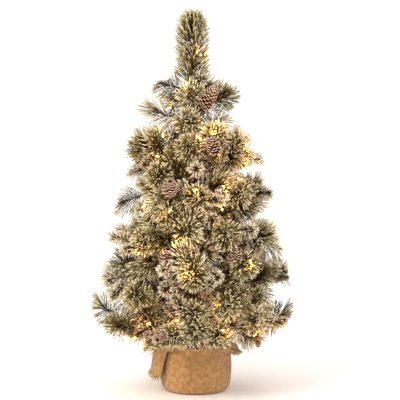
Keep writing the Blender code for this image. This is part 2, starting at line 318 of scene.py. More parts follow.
def needle_material(name, low, high, stops, roughness):
    """Needles coloured along their length, each a little different."""
    made, tree, shader = new_material(name, roughness)
    run = attribute(tree, "along")
    tint = attribute(tree, "tint")
    shifted = math_node(tree, "ADD", run, math_node(tree, "MULTIPLY", tint, 0.30))
    shifted = math_node(tree, "SUBTRACT", shifted, 0.14)
    colour = ramp(tree, shifted, stops)
    shade = ramp(tree, tint, ((0.0, low), (1.0, high)))
    colour = blend_colour(tree, 1.0, colour, shade, "MULTIPLY")
    tree.links.new(colour, shader.inputs["Base Color"])
    shader.inputs["Specular IOR Level"].default_value = 0.35
    return made


def grained_material(name, dark, light, roughness, scale, detail, ends, relief):
    """Two colours mixed by a grain that also stands in relief: (strength, depth)."""
    made, tree, shader = new_material(name, roughness)
    grain = noise(tree, scale, detail)
    tree.links.new(ramp(tree, grain, ((ends[0], dark), (ends[1], light))), shader.inputs["Base Color"])
    bump(tree, shader, grain, *relief)
    return made


def cone_material():
    """Woody scales with frosted rims. Painted shade makes each scale darker inside, near black at its root
    between the scales.
    """
    made, tree, shader = new_material("cone_scales", 0.72)
    run = attribute(tree, "along")
    tint = attribute(tree, "tint")
    grain = noise(tree, 260.0, 3.0)
    root_shade_to_frost = math_node(tree, "ADD", run, math_node(tree, "MULTIPLY", grain, 0.16))
    root_shade_to_frost = math_node(tree, "SUBTRACT", root_shade_to_frost, 0.08)
    # the stops run from painted shade at the scale roots, through the brown wood, to the frosted rims
    stops = (
        (0.00, (0.040, 0.016, 0.009)),
        (0.35, (0.150, 0.052, 0.026)),
        (0.60, (0.340, 0.140, 0.078)),
        (0.80, (0.580, 0.320, 0.205)),
        (0.97, (0.880, 0.720, 0.570)),
    )
    colour = ramp(tree, root_shade_to_frost, stops)
    shade = ramp(tree, tint, ((0.0, (0.78, 0.74, 0.74)), (1.0, (1.0, 1.0, 1.0))))
    colour = blend_colour(tree, 1.0, colour, shade, "MULTIPLY")
    tree.links.new(colour, shader.inputs["Base Color"])
    bump(tree, shader, grain, 0.4, 0.0005)
    return made


YARN_PITCH = 0.0021


def burlap_material():
    """Open plain weave of uneven jute yarn, following the cloth."""
    made, tree, shader = new_material("burlap", 0.95)
    place = node(tree, "ShaderNodeUVMap", uv_map="cloth")
    split = node(tree, "ShaderNodeSeparateXYZ")
    tree.links.new(place.outputs["UV"], split.inputs[0])
    wobble = noise(tree, 55.0, 3.0, place.outputs["UV"])
    pitch = 2.0 * math.pi / YARN_PITCH
    yarns = []
    for axis in ("X", "Y"):
        shift = math_node(tree, "MULTIPLY", wobble, 5.0)
        turn = math_node(tree, "ADD", math_node(tree, "MULTIPLY", split.outputs[axis], pitch), shift)
        wave = math_node(tree, "SINE", turn, 0.0)
        yarns.append(math_node(tree, "ADD", math_node(tree, "MULTIPLY", wave, 0.5), 0.5))
    height = math_node(tree, "MAXIMUM", yarns[0], yarns[1])
    slub = noise(tree, 90.0, 8.0, place.outputs["UV"])
    patch = noise(tree, 14.0, 3.0, place.outputs["UV"])
    fine = noise(tree, 420.0, 5.0, place.outputs["UV"])
    thick, broad = math_node(tree, "MULTIPLY", slub, 0.72), math_node(tree, "MULTIPLY", patch, 0.28)
    mottle = math_node(tree, "ADD", thick, broad)
    base = ramp(
        tree,
        mottle,
        ((0.36, (0.500, 0.230, 0.068)), (0.50, (0.610, 0.330, 0.118)), (0.64, (0.740, 0.460, 0.190))),
    )
    gaps = ramp(tree, height, ((0.05, (0.50, 0.42, 0.34)), (0.55, (1.0, 1.0, 1.0))))
    colour = blend_colour(tree, 0.75, base, gaps, "MULTIPLY")
    hairs = ramp(tree, fine, ((0.34, (0.62, 0.56, 0.48)), (0.66, (1.18, 1.16, 1.10))))
    colour = blend_colour(tree, 0.85, colour, hairs, "MULTIPLY")
    tree.links.new(colour, shader.inputs["Base Color"])
    relief = math_node(tree, "ADD", height, math_node(tree, "MULTIPLY", fine, 0.5))
    bump(tree, shader, relief, 0.9, 0.0011)
    shader.inputs["Sheen Weight"].default_value = 0.25
    shader.inputs["Sheen Roughness"].default_value = 0.6
    shader.inputs["Specular IOR Level"].default_value = 0.15
    return made


def plastic_material(name, colour, roughness=0.45, grain=900.0):
    """Moulded plastic with a fine texture."""
    dark = tuple(0.82 * c for c in colour)
    return grained_material(name, dark, colour, roughness, grain, 2.0, (0.35, 0.65), (0.12, 0.0002))


MATS = {
    "needle_long": needle_material(
        "needle_long",
        (0.68, 0.64, 0.46),
        (1.0, 0.97, 0.88),
        (
            (0.00, (0.072, 0.026, 0.003)),
            (0.22, (0.112, 0.068, 0.010)),
            (0.46, (0.165, 0.140, 0.026)),
            (0.74, (0.270, 0.222, 0.068)),
            (0.85, (0.740, 0.640, 0.410)),
            (0.94, (0.960, 0.880, 0.690)),
        ),
        0.62,
    ),
    "needle_frosted": needle_material(
        "needle_frosted",
        (0.76, 0.73, 0.68),
        (1.0, 1.0, 1.0),
        (
            (0.00, (0.034, 0.012, 0.003)),
            (0.34, (0.100, 0.044, 0.007)),
            (0.58, (0.310, 0.190, 0.050)),
            (0.76, (0.840, 0.720, 0.520)),
            (1.00, (0.970, 0.890, 0.720)),
        ),
        0.68,
    ),
    "needle_fir": needle_material(
        "needle_fir",
        (0.70, 0.66, 0.58),
        (1.0, 1.0, 1.0),
        (
            (0.00, (0.055, 0.022, 0.005)),
            (0.40, (0.190, 0.118, 0.022)),
            (0.66, (0.380, 0.280, 0.095)),
            (0.90, (0.760, 0.690, 0.560)),
        ),
        0.65,
    ),
    "twig": grained_material(
        "twig_wire", (0.040, 0.020, 0.008), (0.120, 0.064, 0.026),
        roughness=0.85, scale=240.0, detail=5.0, ends=(0.3, 0.7), relief=(0.5, 0.0006),
    ),
    "ballast": grained_material(
        "cast_ballast", (0.300, 0.285, 0.262), (0.520, 0.500, 0.462),
        roughness=0.92, scale=120.0, detail=8.0, ends=(0.25, 0.75), relief=(0.7, 0.0012),
    ),
    "cone": cone_material(),
    "burlap": burlap_material(),
    "wire": plastic_material("string_wire", (0.020, 0.060, 0.022), 0.40),
    "case": plastic_material("case_plastic", (0.020, 0.045, 0.022), 0.42),
    "black": plastic_material("switch_plastic", (0.030, 0.030, 0.030), 0.40),
    "tub": plastic_material("tub_plastic", (0.028, 0.028, 0.028), 0.50),
    "board": plastic_material("board", (0.030, 0.160, 0.060), 0.40, 400.0),
}


def glow_material():
    """The warm bulb."""
    made, _, shader = new_material("bulb_glow", 0.25)
    shader.inputs["Base Color"].default_value = (1.0, 0.72, 0.38, 1.0)
    shader.inputs["Emission Color"].default_value = (1.0, 0.55, 0.17, 1.0)
    shader.inputs["Emission Strength"].default_value = 2.3
    return made


def wrap_material():
    """Dark tape wound round the pole on a slant, 14 mm a turn."""
    made, tree, shader = new_material("pole_wrap", 0.80)
    place = node(tree, "ShaderNodeTexCoord").outputs["Object"]
    split = node(tree, "ShaderNodeSeparateXYZ")
    tree.links.new(place, split.inputs[0])
    angle = math_node(tree, "ARCTAN2", split.outputs["Y"], split.outputs["X"])
    climb = math_node(tree, "MULTIPLY", split.outputs["Z"], 1.0 / 0.014)
    turn = math_node(tree, "ADD", climb, math_node(tree, "DIVIDE", angle, 2.0 * math.pi))
    edge = math_node(tree, "FRACT", turn, 0.0)
    colour = ramp(
        tree,
        edge,
        ((0.0, (0.030, 0.024, 0.012)), (0.10, (0.085, 0.070, 0.036)), (1.0, (0.060, 0.050, 0.026))),
    )
    tree.links.new(colour, shader.inputs["Base Color"])
    bump(tree, shader, edge, 0.6, 0.0006)
    return made


def cell_material():
    """Plain battery jacket: dark with a bright band at the top."""
    made, tree, shader = new_material("cell_jacket", 0.28, 0.7)
    place = node(tree, "ShaderNodeTexCoord").outputs["Generated"]
    split = node(tree, "ShaderNodeSeparateXYZ")
    tree.links.new(place, split.inputs[0])
    stops = ((0.0, (0.030, 0.030, 0.034)), (0.70, (0.036, 0.036, 0.040)), (0.72, (0.620, 0.330, 0.130)))
    tree.links.new(ramp(tree, split.outputs["Z"], stops), shader.inputs["Base Color"])
    return made


def yarn_material():
    """Single jute yarns."""
    made, tree, shader = new_material("jute_yarn", 0.95)
    tint = attribute(tree, "tint")
    colour = ramp(tree, tint, ((0.0, (0.400, 0.230, 0.105)), (1.0, (0.700, 0.490, 0.270))))
    tree.links.new(colour, shader.inputs["Base Color"])
    bump(tree, shader, noise(tree, 1500.0, 3.0), 0.5, 0.0002)
    return made


MATS["glow"] = glow_material()
MATS["wrap"] = wrap_material()
MATS["cell"] = cell_material()
MATS["yarn"] = yarn_material()


# ---------------------------------------------------------------- mesh collector
def linked(name, data):
    """A new object in the scene."""
    thing = bpy.data.objects.new(name, data)
    bpy.context.scene.collection.objects.link(thing)
    return thing


class Shape:
    """Collects closed shapes with the attributes their materials read."""

    def __init__(self):
        self.verts, self.faces, self.along, self.tint, self.mats = [], [], [], [], []
        self.count = 0

    def add(self, verts, faces, along, tint, mat):
        """Add one batch of vertices (n,3), faces as lists of indices."""
        self.verts.append(np.asarray(verts, dtype=float))
        self.faces += [tuple(int(i) + self.count for i in face) for face in faces]
        self.along.append(np.broadcast_to(np.asarray(along, dtype=float), len(verts)))
        self.tint.append(np.broadcast_to(np.asarray(tint, dtype=float), len(verts)))
        self.mats += [mat] * len(faces)
        self.count += len(verts)

    def made(self, name, materials, smooth=True):
        """The finished object."""
        mesh = bpy.data.meshes.new(name)
        verts = np.vstack(self.verts)
        mesh.from_pydata(verts.tolist(), [], self.faces)
        for key, values in (("along", self.along), ("tint", self.tint)):
            layer = mesh.attributes.new(key, "FLOAT", "POINT")
            layer.data.foreach_set("value", np.concatenate(values).astype(np.float32))
        for mat in materials:
            mesh.materials.append(mat)
        mesh.polygons.foreach_set("material_index", self.mats)
        mesh.polygons.foreach_set("use_smooth", [smooth] * len(mesh.polygons))
        mesh.update()
        return linked(name, mesh)


def unit(vectors):
    """Rows scaled to length one."""
    return vectors / np.maximum(np.linalg.norm(vectors, axis=-1, keepdims=True), 1e-12)


def sides_of(way):
    """Two unit vectors square to each row of way."""
    pick = np.where(np.abs(way[:, 2:3]) < 0.9, [[0.0, 0.0, 1.0]], [[1.0, 0.0, 0.0]])
    one = unit(np.cross(way, pick))
    return one, np.cross(way, one)


def add_tube(shape, points, radii, sides, mat, tint=0.5, along=None):
    """A round bar through points, closed at both ends."""
    points = np.array([list(p) for p in points], dtype=float)
    radii = np.broadcast_to(np.asarray(radii, dtype=float), len(points))
    ways = unit(np.gradient(points, axis=0))
    one = np.empty_like(ways)
    one[:1] = sides_of(ways[:1])[0]
    for k in range(1, len(points)):
        carried = one[k - 1] - ways[k] * (one[k - 1] @ ways[k])
        one[k] = carried / max(np.linalg.norm(carried), 1e-9)
    two = np.cross(ways, one)
    turn = np.arange(sides) * 2 * np.pi / sides
    ring = one[:, None] * np.cos(turn)[None, :, None] + two[:, None] * np.sin(turn)[None, :, None]
    verts = (points[:, None] + ring * radii[:, None, None]).reshape(-1, 3)
    faces = []
    for k in range(len(points) - 1):
        for j in range(sides):
            a, b = k * sides + j, k * sides + (j + 1) % sides
            faces.append((a, b, b + sides, a + sides))
    faces.append(tuple(range(sides))[::-1])
    faces.append(tuple(range((len(points) - 1) * sides, len(points) * sides)))
    run = np.linspace(0, 1, len(points)) if along is None else np.broadcast_to(along, len(points))
    shape.add(verts, faces, np.repeat(run, sides), tint, mat)


def add_needles(shape, rng, roots, ways, lengths, width, bend, mat, club, shade):
    """Needles from roots along ways, bent by the vectors in bend, each with a thicker flocked end."""
    count = len(roots)
    one, two = sides_of(ways)
    spin = rng.uniform(0, np.pi, count)[:, None]
    flat = one * np.cos(spin) + two * np.sin(spin)
    thin = np.cross(ways, flat)
    verts = np.empty((count, 10, 3))
    rings = ((0.0, 0.6), (0.66, 0.85), (0.92, club))
    for ring, (share, size) in enumerate(rings):
        at = roots + ways * (share * lengths)[:, None] + bend * share**2
        for j in range(3):
            turn = j * 2 * np.pi / 3
            verts[:, 3 * ring + j] = at + size * width * (flat * np.cos(turn) + 0.6 * thin * np.sin(turn))
    verts[:, 9] = roots + ways * lengths[:, None] + bend
    faces = [(0, 2, 1), (6, 7, 9), (7, 8, 9), (8, 6, 9)]
    faces += [(r + j, r + (j + 1) % 3, r + 3 + (j + 1) % 3, r + 3 + j) for r in (0, 3) for j in range(3)]
    every = [tuple(10 * k + i for i in face) for k in range(count) for face in faces]
    along = np.tile([0, 0, 0, 0.66, 0.66, 0.66, 0.92, 0.92, 0.92, 1.0], count)
    tint = np.clip(shade + rng.normal(0, 0.13, count), 0, 1)
    shape.add(verts.reshape(-1, 3), every, along, np.repeat(tint, 10), mat)


# the middle of the foliage's outline stands a little to the left of the pole and in front of it
SIDE, LEADER_SIDE, FORWARD = -0.009, -0.008, -0.002
LEADER_FROM, HIGHEST = 0.72, 0.919
MOST_SLACK = 0.005
# the lowest that needles reach: at the sides, over the bag, and in front of it
LOW, LOW_AT_BAG, LOW_IN_FRONT = 0.096, 0.112, 0.130
# the golden angle, which spaces needles and scales evenly round their axis
GOLDEN = 2.39996


def kept_inside(roots, ways, lengths, slack):
    """Lengths cut so that no needle passes the foliage's outline by more than the slack."""
    heights, radii = zip(*OUTLINE)
    lengths = lengths.copy()
    for _ in range(3):
        tips = roots + ways * lengths[:, None]
        across = np.abs(tips[:, 0])
        middle = np.where(tips[:, 2] < LEADER_FROM, SIDE, LEADER_SIDE)
        limit = np.interp(tips[:, 2], heights, radii) + slack
        over = np.hypot(tips[:, 0] - middle, tips[:, 1] - FORWARD) - limit
        over = np.maximum(over, tips[:, 2] - HIGHEST - 0.5 * slack)
        low = np.where((across < 0.11) & (np.abs(tips[:, 1]) < 0.24), LOW_AT_BAG, LOW)
        low = np.where((across < 0.10) & (tips[:, 1] < -0.12), LOW_IN_FRONT, low)
        over = np.maximum(over, low - tips[:, 2])
        lengths = np.where(over > 0, np.maximum(lengths - over * 1.05, 0.25 * lengths), lengths)
    return lengths


# material slots of a branch's foliage
WIRE, LONG, FROSTED, FIR = range(4)


def add_tuft(
    shape, rng, start, end, count, length, spread,
    over=(0.0, 1.0), width=0.00095, mat=LONG, taper=0.0, club=1.1, shade=None,
):
    """Needles all round a twig, over a stretch of it.

    spread is their angle to the twig at that stretch's foot and end, in degrees; club is how many
    times thicker their flocked ends are; shade runs from 0, dark and green, to 1, pale and frosted.
    """
    start, end = np.array(list(start)), np.array(list(end))
    axis = (end - start) / np.linalg.norm(end - start)
    run = (np.arange(count) + rng.uniform(0, 1, count)) / count
    share = over[0] + (over[1] - over[0]) * run
    turn = np.arange(count) * GOLDEN + rng.normal(0, 0.25, count)
    one, two = sides_of(axis[None, :])
    radial = one * np.cos(turn)[:, None] + two * np.sin(turn)[:, None]
    lean = np.radians(spread[0] + (spread[1] - spread[0]) * run**1.6 + rng.normal(0, 7.0, count))
    ways = unit(axis * np.cos(lean)[:, None] + radial * np.sin(lean)[:, None])
    lengths = length * (1 - taper * run) * rng.uniform(0.86, 1.06, count)
    roots = start + (end - start) * share[:, None] + radial * 0.0012
    slack = np.minimum(rng.uniform(-0.012, 0.007) + rng.uniform(-0.004, 0.004, count), MOST_SLACK)
    lengths = kept_inside(roots, ways, lengths, slack)
    droop = np.array([0, 0, -0.04])
    bend = (axis * 0.06 + droop + rng.normal(0, 0.035, (count, 3))) * lengths[:, None]
    shade = rng.uniform(0.05, 0.95) if shade is None else shade
    add_needles(shape, rng, roots, ways, lengths, width, bend, mat, club, shade)


# ---------------------------------------------------------------- branches
def smooth_path(points, count):
    """Evenly spaced points on a smooth curve through the given ones."""
    points = np.asarray(points, dtype=float)
    knots = np.concatenate([[0], np.cumsum(np.linalg.norm(np.diff(points, axis=0), axis=1))])
    rounds = np.linspace(0, knots[-1], 400)
    slopes = np.gradient(points, knots, axis=0)
    k = np.clip(np.searchsorted(knots, rounds, side="right") - 1, 0, len(points) - 2)
    span = (knots[k + 1] - knots[k])[:, None]
    t = ((rounds - knots[k])[:, None]) / span
    a, b = points[k], points[k + 1]
    out = (
        a * (2 * t**3 - 3 * t**2 + 1)
        + slopes[k] * span * (t**3 - 2 * t**2 + t)
        + b * (-2 * t**3 + 3 * t**2)
        + slopes[k + 1] * span * (t**3 - t**2)
    )
    run = np.concatenate([[0], np.cumsum(np.linalg.norm(np.diff(out, axis=0), axis=1))])
    want = np.linspace(0, run[-1], count)
    return np.stack([np.interp(want, run, out[:, i]) for i in range(out.shape[1])], axis=1), run[-1]


# (x, z) near which the twigs at the front are frosted brushes, or short fir ones
FROSTED_NEAR = (
    (0.000, 0.538), (-0.064, 0.252), (-0.064, 0.299), (0.057, 0.283), (0.079, 0.476), (0.091, 0.214),
    (-0.140, 0.190), (-0.120, 0.120), (0.080, 0.372), (-0.030, 0.440),
)
FIR_NEAR = (
    (-0.220, 0.190), (-0.205, 0.150), (-0.165, 0.118), (0.195, 0.258), (0.193, 0.236), (0.170, 0.118),
)
NEAR = 0.032


def kind_of(rng, end):
    """What a twig carries: long needles, a frosted brush, or short fir needles that taper to a bud."""
    dice = rng.uniform()
    if end.y < 0:
        for places, kind in ((FROSTED_NEAR, "frosted"), (FIR_NEAR, "fir")):
            if any(math.hypot(end.x - x, end.z - z) < NEAR for x, z in places):
                return kind
    if end.z > 0.62:
        return "long" if dice > 0.10 else "frosted"
    return "long" if dice > 0.34 else ("frosted" if dice > 0.12 or end.z > 0.30 else "fir")


FULL_TWIG = 0.09


def pompom(shape, rng, start, end, dense=1.0, size=0.047):
    """A long-needled twig: sparse along its wire, a full burst at its end."""
    add_tuft(shape, rng, start, end, int(30 * dense), 0.85 * size, (66, 56), (0.05, 0.45))
    add_tuft(shape, rng, start, end, int(104 * dense), size, (68, 12), (0.42, 0.99), 0.00100, club=1.55)


def frosted(shape, rng, start, end):
    """A bottle brush of stiff needles with heavy white ends."""
    count = int(185 * (end - start).length / FULL_TWIG)
    add_tuft(shape, rng, start, end, count, 0.0235, (74, 30), (0.05, 0.99), 0.00105, FROSTED, 0.12, 1.5)


def fir(shape, rng, start, end):
    """Short dense needles that close to a point with a brown bud."""
    count = int(300 * (end - start).length / FULL_TWIG)
    tip = end + (end - start) * 0.06
    add_tuft(shape, rng, start, tip, count, 0.0215, (58, 22), (0.05, 0.97), mat=FIR, taper=0.55, club=1.0)
    add_tube(shape, [end, tip, tip + (tip - end) * 0.8], [0.0024, 0.0026, 0.0008], 6, WIRE)


def turned_way(rng, way, degrees):
    """A direction at an angle to another, on a random side of it."""
    one = way.cross(Vector((0.31, 0.17, 0.93))).normalized()
    two = way.cross(one)
    spin = rng.uniform(0, 2 * math.pi)
    off = one * math.cos(spin) + two * math.sin(spin)
    lean = math.radians(degrees)
    return way * math.cos(lean) + off * math.sin(lean)


def inside(at):
    """Whether a point is inside the foliage's outline, with room for a few needles."""
    return math.hypot(at.x, at.y) < envelope(at.z) - 0.018 and at.z > 0.125


# (x, z) of the tufts that stand end-on at the front, and what each carries
FACING = (
    (-0.013, 0.584, "disc"), (0.002, 0.471, "disc"), (-0.059, 0.428, "disc"),
    (-0.007, 0.295, "disc"), (-0.007, 0.211, "disc"), (0.073, 0.386, "disc"),
    (0.072, 0.228, "disc"), (-0.137, 0.248, "disc"), (-0.019, 0.646, "disc"),
    (0.050, 0.158, "disc"), (-0.050, 0.156, "disc"), (0.118, 0.318, "disc"),
    (-0.118, 0.372, "disc"), (0.103, 0.478, "disc"), (-0.085, 0.520, "disc"),
    (0.046, 0.612, "disc"), (0.145, 0.190, "disc"), (-0.066, 0.267, "frosted"),
    (0.047, 0.293, "frosted"), (0.002, 0.536, "frosted"), (0.062, 0.474, "frosted"),
    (0.039, 0.420, "frosted"), (-0.070, 0.310, "frosted"), (0.130, 0.395, "frosted"),
)


FACING_RUN = 0.045


def facing_twigs():
    """For each body, its (knot, end, kind) twigs that reach out to the front of the outline."""
    found = {}
    for x, z, kind in FACING:
        r = envelope(z) - (0.020 if kind == "disc" else 0.012)
        tip = Vector((x, -math.sqrt(r * r - x * x), z))
        heading = (Vector((x, tip.y, 0.0)).normalized() + Vector((0.0, -1.2, 0.12))).normalized()
        foot = tip - heading * FACING_RUN

        def cost(choice):
            name, start, end = choice
            run = end - start
            share = max(0.05, min(0.95, (foot - start).dot(run) / run.length_squared))
            knot = start + run * share
            shallow = max(0.0, math.hypot(knot.x, knot.y) - math.hypot(foot.x, foot.y))
            return (knot - foot).length + 2.0 * shallow, name, tuple(knot)

        _, name, knot = min(cost((who, start, end)) for who, _, _, twigs in LAYOUT for start, end in twigs)
        found.setdefault(name, []).append((Vector(knot), foot, tip, kind))
    return found


def disc(shape, rng, start, end):
    """A dense even burst that reads as a disc from the front, green inside with white ends."""
    add_tuft(shape, rng, start, end, 40, 0.036, (64, 76), (0.0, 0.45), 0.00085)
    add_tuft(shape, rng, start, end, 128, 0.0385, (84, 10), (0.45, 0.99), 0.00090, club=2.1, shade=0.50)


def spire(shape, rng, start, end):
    """The leader's own needles: short at its foot, long above, and a burst at the top."""
    add_tuft(shape, rng, start, end, 260, 0.034, (60, 44), (0.0, 0.42), 0.00100, club=1.5, shade=0.30)
    add_tuft(shape, rng, start, end, 560, 0.060, (48, 42), (0.40, 0.92), 0.00100, club=1.6, shade=0.30)
    add_tuft(shape, rng, start, end, 90, 0.052, (46, 10), (0.84, 0.93), 0.00100, club=1.6, shade=0.40)


def branch_end(shape, rng, start, end):
    """The outer part of a branch's own wire."""
    add_tuft(shape, rng, start, end, 110, 0.042, (66, 50), (0.0, 0.72))
    add_tuft(shape, rng, start, end, 125, 0.047, (66, 12), (0.70, 0.99), 0.00100, club=1.35)


def add_fork(shape, rng, start, end, share, kind):
    """A small twig off another, reaching outwards to where there is room, if a try finds it."""
    way = (end - start).normalized()
    for _ in range(14):
        foot = start.lerp(end, share + rng.uniform(-0.12, 0.18))
        out = Vector((foot.x, foot.y, 0.25 * math.hypot(foot.x, foot.y))).normalized()
        heading = (out + 0.25 * way).normalized()
        fork = foot + turned_way(rng, heading, rng.uniform(0, 32)) * rng.uniform(0.026, 0.056)
        if inside(fork) and all((fork - tip).length > 0.052 for tip in SHOWN_TIPS):
            add_tube(shape, [foot, fork], [0.0012, 0.0009], 5, WIRE)
            if kind == "frosted" or rng.uniform() < 0.25:
                frosted(shape, rng, foot, fork)
            else:
                pompom(shape, rng, foot, fork, 0.80, 0.043)
            return


def add_twig(shape, rng, start, end, main):
    """One twig of a branch, or the end of its own wire, with what it carries and its forks."""
    if not main:
        add_tube(shape, [start, start.lerp(end, 0.5), end], [0.0015, 0.0014, 0.0010], 5, WIRE)
    kind = kind_of(rng, end)
    if kind == "frosted":
        frosted(shape, rng, start.lerp(end, 0.08), start.lerp(end, 0.97))
    elif kind == "fir":
        fir(shape, rng, start.lerp(end, 0.05), start.lerp(end, 0.97))
    elif main:
        branch_end(shape, rng, start, end)
    else:
        pompom(shape, rng, start, end)
    for share in (0.38, 0.52) if main else (0.42,):
        if main or rng.uniform() >= 0.35:
            add_fork(shape, rng, start, end, share, kind)


def add_inner(shape, rng, path):
    """The needles and short twigs along the inner half of a branch."""
    add_tuft(shape, rng, along(path, 0.02), along(path, 0.45), 130, 0.042, (80, 55), (0.05, 1.0))
    way = (path[-1] - path[0]).normalized()
    for share in (0.16, 0.26, 0.36, 0.46):
        foot = along(path, share)
        for _ in range(12):
            twig = foot + turned_way(rng, way, rng.uniform(45, 85)) * rng.uniform(0.036, 0.052)
            low = 0.150 if math.hypot(twig.x, twig.y) < 0.12 else 0.13
            if inside(twig) and twig.z > low:
                add_tube(shape, [foot, twig], [0.0012, 0.0009], 5, WIRE)
                pompom(shape, rng, foot, twig, 0.7, 0.038)
                break


def make_foliage(name, path, twigs, number):
    """All the needles and twig wires of one branch."""
    rng = np.random.RandomState(100 + number)
    shape = Shape()
    for k, (start, end) in enumerate(twigs):
        if name == "leader" and k == 0:
            spire(shape, rng, start, end)
        else:
            add_twig(shape, rng, start, end, k == 0)
    for knot, foot, tip, kind in SHOWN.get(name, ()):
        line, _ = smooth_path([list(p) for p in (knot, knot.lerp(foot, 0.6), foot, tip)], 9)
        add_tube(shape, line, np.linspace(0.0014, 0.0010, 9), 5, WIRE)
        (disc if kind == "disc" else frosted)(shape, rng, foot, tip)
    if name != "leader":
        add_inner(shape, rng, path)
    kinds = [MATS[key] for key in ("twig", "needle_long", "needle_frosted", "needle_fir")]
    piece = shape.made(f"{name}_foliage", kinds)
    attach(piece, name)
    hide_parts(f"{name}_spray")


LAYOUT = tree_layout()
SHOWN = facing_twigs()
SHOWN_TIPS = [tip for twigs in SHOWN.values() for _, _, tip, _ in twigs]
for number, (name, _, path, twigs) in enumerate(LAYOUT):
    make_foliage(name, path, twigs, number)


# ---------------------------------------------------------------- pine cones
def cone_shape(shape, rng, length, radius):
    """A half-open cone along +Z from its stalk end, round its own middle."""
    core = [(0.16, 0.0), (0.34, 0.10), (0.40, 0.35), (0.30, 0.70), (0.10, 0.95)]
    spine = [(0, 0, length * (z - 0.5)) for _, z in core]
    add_tube(shape, spine, [radius * r for r, _ in core], 8, 0, 0.2, 0.0)
    half_outline = ((0.0, 0.40), (0.55, 0.80), (0.86, 0.92), (1.0, 0.45))
    outline = (*half_outline, *((out, -across) for out, across in reversed(half_outline)))
    n = len(outline)
    total = int(64 + 1100 * (length - 0.03))
    for k in range(total):
        share = (k + 0.5) / total
        turn = k * GOLDEN
        grown = math.sin(math.pi * min(1.0, 0.16 + 0.84 * share) ** 0.8) ** 0.6
        reach = radius * (0.30 + 0.72 * grown)
        lift = math.radians(8 + 60 * share**1.4 + rng.normal(0, 4))
        z = length * (0.92 * share - 0.46)
        root = radius * 0.22
        run = max(reach - root, 0.25 * radius)
        half = 0.30 * radius * (0.45 + 0.65 * grown) * (64 / total) ** 0.5
        thick = 0.050 * radius + 0.0003
        verts, root_shade_to_rim = [], []
        for side in (1, -1):
            for out, across in outline:
                cup = 0.16 * run * out * out
                thin = thick * (1.0 - 0.35 * out)
                # 0.06 at a scale's root, which is coloured as painted shade between the scales, up to 1 at
                # its frosted rim
                root_shade_to_rim.append(0.06 + 0.94 * out**4)
                a = root + run * out * math.cos(lift) - side * thin * math.sin(lift) * 0.5
                b = half * across
                c = z + run * out * math.sin(lift) + side * thin * math.cos(lift) + cup
                east = a * math.cos(turn) - b * math.sin(turn)
                verts.append((east, a * math.sin(turn) + b * math.cos(turn), c))
        faces = [tuple(range(n))[::-1], tuple(range(n, 2 * n))]
        faces += [(j, (j + 1) % n, n + (j + 1) % n, n + j) for j in range(n)]
        shape.add(verts, faces, root_shade_to_rim, rng.uniform(0, 1), 0)


def make_nest(name, body, centre, way, length, rng):
    """The wired stalk that ties a cone to its own branch, in a ring of needles."""
    twigs = next(twigs for who, _, _, twigs in LAYOUT if who == body)
    foot = centre - way * 0.46 * length
    start, end = min(twigs, key=lambda t: distance_to(foot, *t))
    run = end - start
    knot = start + run * max(0.05, min(0.95, (foot - start).dot(run) / run.length_squared))
    shape = Shape()
    bow = (knot + foot - way * 0.016) / 2
    line, _ = smooth_path([list(p) for p in (knot, bow, foot - way * 0.006, foot + way * 0.002)], 10)
    add_tube(shape, line, np.linspace(0.0011, 0.0017, 10), 6, 0)
    away = knot.lerp(foot, 0.35)
    add_tuft(shape, rng, away, foot, 46, 0.036, (88, 62), club=1.3)
    piece = shape.made(f"{name}_nest", [MATS["twig"], MATS["needle_long"]])
    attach(piece, body)


def distance_to(at, start, end):
    """How far a point is from a straight twig."""
    run = end - start
    share = max(0.0, min(1.0, (at - start).dot(run) / run.length_squared))
    return (at - start.lerp(end, share)).length


def make_cone(name, body, centre, way, length, radius, seed, node_name=None):
    """One detailed cone in place of its plain solid."""
    rng = np.random.RandomState(seed)
    shape = Shape()
    cone_shape(shape, rng, length, radius)
    piece = shape.made(name, [MATS["cone"]], smooth=False)
    turn = Vector(way).normalized().to_track_quat("Z", "Y").to_matrix().to_4x4()
    piece.data.transform(Matrix.Translation(Vector(centre)) @ turn)
    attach(piece, body)
    make_nest(name, body, Vector(centre), Vector(way).normalized(), length, rng)
    if node_name:
        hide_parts(node_name)


CONES = (
    ("cone_1", "leader", (0.030, -0.075, 0.700), (0.55, -0.35, 0.76), 0.072, 0.0190),
    ("cone_2", "branch_e3", (0.040, -0.161, 0.588), (-0.30, -0.50, 0.81), 0.050, 0.0165),
    ("cone_3", "branch_d3", (-0.058, -0.188, 0.492), (0.10, -0.75, 0.65), 0.044, 0.0180),
    ("cone_4", "branch_c3", (-0.066, -0.163, 0.338), (0.20, -0.70, 0.68), 0.044, 0.0175),
    ("cone_5", "branch_c4", (0.091, -0.160, 0.336), (0.35, -0.60, 0.72), 0.046, 0.0170),
    ("cone_6", "branch_b4", (0.108, -0.151, 0.250), (0.60, -0.60, -0.53), 0.048, 0.0170),
    ("cone_7", "branch_a4", (-0.078, -0.190, 0.160), (-0.30, -0.90, -0.32), 0.044, 0.0170),
    ("cone_8", "branch_a4", (0.004, -0.184, 0.138), (1.00, -0.20, -0.10), 0.050, 0.0150),
)
for number, (name, body, centre, way, length, radius) in enumerate(CONES):
    make_cone(f"{name}_scaled", body, centre, way, length, radius, 40 + number, name)


# azimuth in degrees, height and length of the cones round the back
BACK_CONES = (
    (38, 0.300, 0.046),
    (72, 0.500, 0.048),
    (104, 0.200, 0.044),
    (141, 0.390, 0.047),
    (164, 0.560, 0.044),
)


